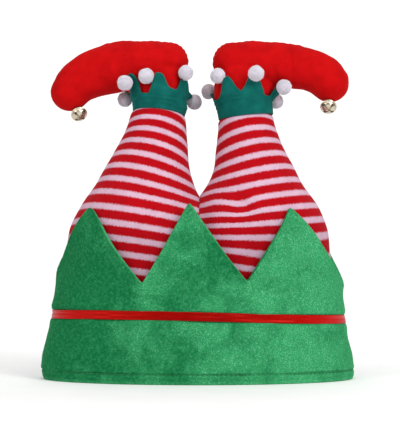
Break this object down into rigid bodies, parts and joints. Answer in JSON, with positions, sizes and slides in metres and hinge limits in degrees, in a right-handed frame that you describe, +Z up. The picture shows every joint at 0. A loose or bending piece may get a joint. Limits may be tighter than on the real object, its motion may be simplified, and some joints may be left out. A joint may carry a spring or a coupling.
{
  "type": "elf legs hat",
  "caption": "Novelty hat shaped like upturned elf trousers: velvet shorts form the cap, stuffed striped legs rise from it and end in felt shoes with jester collars and jingle bells.",
  "frame": {"origin": "middle of the rim's outline, in the plane the rim stands on", "axes": "+Z up through the legs to the shoes, +X to the viewer's right as seen from the front, front faces -Y"},
  "size_m": [0.2538, 0.1322, 0.278],
  "materials": {
    "green_velvet": "short-pile green velvet with a soft sheen",
    "red_satin": "woven red satin ribbon",
    "navy_cotton": "plain dark navy cotton lining",
    "striped_fleece": "fluffy knit fleece in red and pinkish white stripes",
    "teal_felt": "pressed dark teal-green felt",
    "red_felt": "brushed red felt, stuffed",
    "white_pompom": "fluffy white pompom yarn",
    "pale_brass": "bright pale brass plate"
  },
  "bodies": {
    "root": {"shorts": "green_velvet", "ribbon_belt": "red_satin", "lining": "navy_cotton", "leg_left": "striped_fleece", "collar_left": "teal_felt", "shoe_left": "red_felt", "pompom_left_1": "white_pompom", "pompom_left_2": "white_pompom", "pompom_left_3": "white_pompom", "pompom_left_4": "white_pompom", "pompom_left_5": "white_pompom", "pompom_left_6": "white_pompom", "bell_left": "pale_brass", "leg_right": "striped_fleece", "collar_right": "teal_felt", "shoe_right": "red_felt", "pompom_right_1": "white_pompom", "pompom_right_2": "white_pompom", "pompom_right_3": "white_pompom", "pompom_right_4": "white_pompom", "pompom_right_5": "white_pompom", "pompom_right_6": "white_pompom", "bell_right": "pale_brass"}
  },
  "joints": []
}
